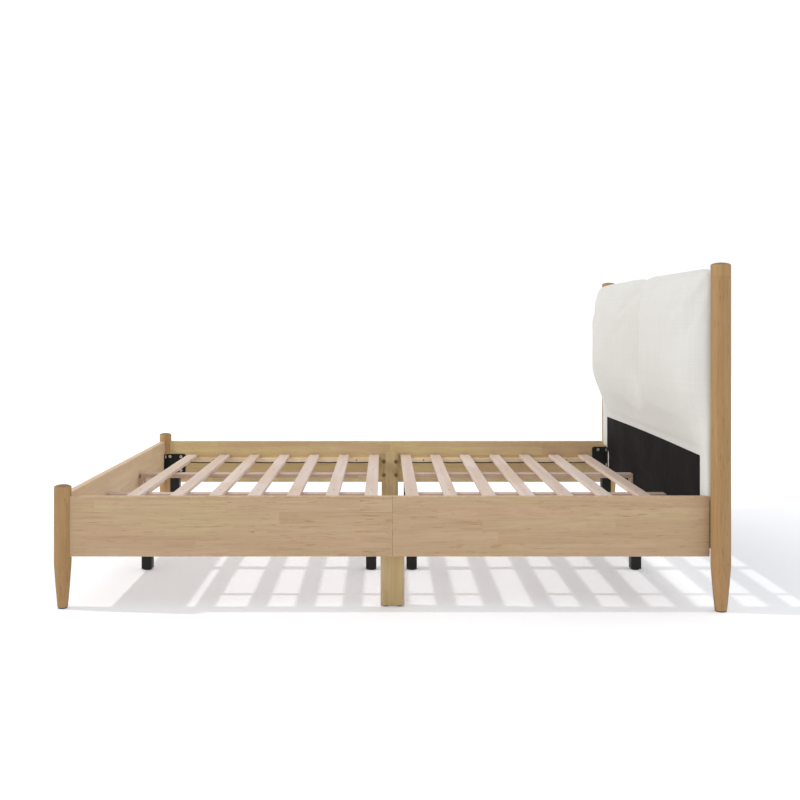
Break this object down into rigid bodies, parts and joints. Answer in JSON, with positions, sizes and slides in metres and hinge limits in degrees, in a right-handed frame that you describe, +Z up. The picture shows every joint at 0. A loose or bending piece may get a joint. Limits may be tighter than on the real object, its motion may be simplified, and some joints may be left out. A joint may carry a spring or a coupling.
{
  "type": "bed frame",
  "caption": "Wooden platform bed frame with slats, a low footboard and a padded headboard held between round posts.",
  "frame": {"origin": "on the floor, in the middle of the frame's length and width", "axes": "+X towards the headboard, +Y to the left seen from the foot of the bed, +Z up"},
  "size_m": [2.129, 1.7018, 1.091],
  "materials": {
    "oak": "finger-jointed hardwood boards under a clear satin lacquer",
    "turned_oak": "turned hardwood under a clear satin lacquer",
    "pine": "planed softwood, unfinished",
    "beam_pine": "planed reddish softwood, unfinished",
    "cover_fabric": "cream woven upholstery fabric",
    "black_lining": "black non-woven lining cloth",
    "black_webbing": "black woven webbing",
    "black_steel": "black powder coat",
    "black_plastic": "moulded black plastic",
    "zinc_steel": "zinc plate, bronze-coloured on the middle legs"
  },
  "bodies": {
    "frame": {"footboard": "oak", "headboard_core": "cover_fabric", "headboard_cushion": "cover_fabric", "headboard_lining": "black_lining", "beam_cleats": "pine", "slat_straps": "black_webbing", "bed_fasteners": "zinc_steel", "floor_pads": "black_plastic", "foot_leg_left": "turned_oak", "head_post_left": "turned_oak", "middle_leg_left": "oak", "side_rail_foot_left": "oak", "ledge_foot_left": "pine", "centre_beam_foot_left": "beam_pine", "corner_bracket_foot_left": "black_steel", "side_rail_head_left": "oak", "ledge_head_left": "pine", "centre_beam_head_left": "beam_pine", "corner_bracket_head_left": "black_steel", "support_leg_foot_outer_left": "black_steel", "support_leg_foot_inner_left": "black_steel", "support_leg_head_inner_left": "black_steel", "support_leg_head_outer_left": "black_steel", "foot_leg_right": "turned_oak", "head_post_right": "turned_oak", "middle_leg_right": "oak", "side_rail_foot_right": "oak", "ledge_foot_right": "pine", "centre_beam_foot_right": "beam_pine", "corner_bracket_foot_right": "black_steel", "side_rail_head_right": "oak", "ledge_head_right": "pine", "centre_beam_head_right": "beam_pine", "corner_bracket_head_right": "black_steel", "support_leg_foot_outer_right": "black_steel", "support_leg_foot_inner_right": "black_steel", "support_leg_head_inner_right": "black_steel", "support_leg_head_outer_right": "black_steel", "slat_1": "pine", "slat_2": "pine", "slat_3": "pine", "slat_4": "pine", "slat_5": "pine", "slat_6": "pine", "slat_7": "pine", "slat_8": "pine", "slat_9": "pine", "slat_10": "pine", "slat_11": "pine", "slat_12": "pine", "slat_13": "pine", "slat_14": "pine"},
    "levelling_glide_foot_outer_left": {"levelling_glide_foot_outer_left": "black_plastic"},
    "levelling_glide_foot_inner_left": {"levelling_glide_foot_inner_left": "black_plastic"},
    "levelling_glide_head_inner_left": {"levelling_glide_head_inner_left": "black_plastic"},
    "levelling_glide_head_outer_left": {"levelling_glide_head_outer_left": "black_plastic"},
    "levelling_glide_foot_outer_right": {"levelling_glide_foot_outer_right": "black_plastic"},
    "levelling_glide_foot_inner_right": {"levelling_glide_foot_inner_right": "black_plastic"},
    "levelling_glide_head_inner_right": {"levelling_glide_head_inner_right": "black_plastic"},
    "levelling_glide_head_outer_right": {"levelling_glide_head_outer_right": "black_plastic"}
  },
  "joints": [
    {"name": "glide_travel_foot_outer_left", "type": "slide", "parent": "frame", "child": "levelling_glide_foot_outer_left", "axis": [0, 0, -1], "range_m": [0, 0.01]},
    {"name": "glide_travel_foot_inner_left", "type": "slide", "parent": "frame", "child": "levelling_glide_foot_inner_left", "axis": [0, 0, -1], "range_m": [0, 0.01]},
    {"name": "glide_travel_head_inner_left", "type": "slide", "parent": "frame", "child": "levelling_glide_head_inner_left", "axis": [0, 0, -1], "range_m": [0, 0.01]},
    {"name": "glide_travel_head_outer_left", "type": "slide", "parent": "frame", "child": "levelling_glide_head_outer_left", "axis": [0, 0, -1], "range_m": [0, 0.01]},
    {"name": "glide_travel_foot_outer_right", "type": "slide", "parent": "frame", "child": "levelling_glide_foot_outer_right", "axis": [0, 0, -1], "range_m": [0, 0.01]},
    {"name": "glide_travel_foot_inner_right", "type": "slide", "parent": "frame", "child": "levelling_glide_foot_inner_right", "axis": [0, 0, -1], "range_m": [0, 0.01]},
    {"name": "glide_travel_head_inner_right", "type": "slide", "parent": "frame", "child": "levelling_glide_head_inner_right", "axis": [0, 0, -1], "range_m": [0, 0.01]},
    {"name": "glide_travel_head_outer_right", "type": "slide", "parent": "frame", "child": "levelling_glide_head_outer_right", "axis": [0, 0, -1], "range_m": [0, 0.01]}
  ]
}
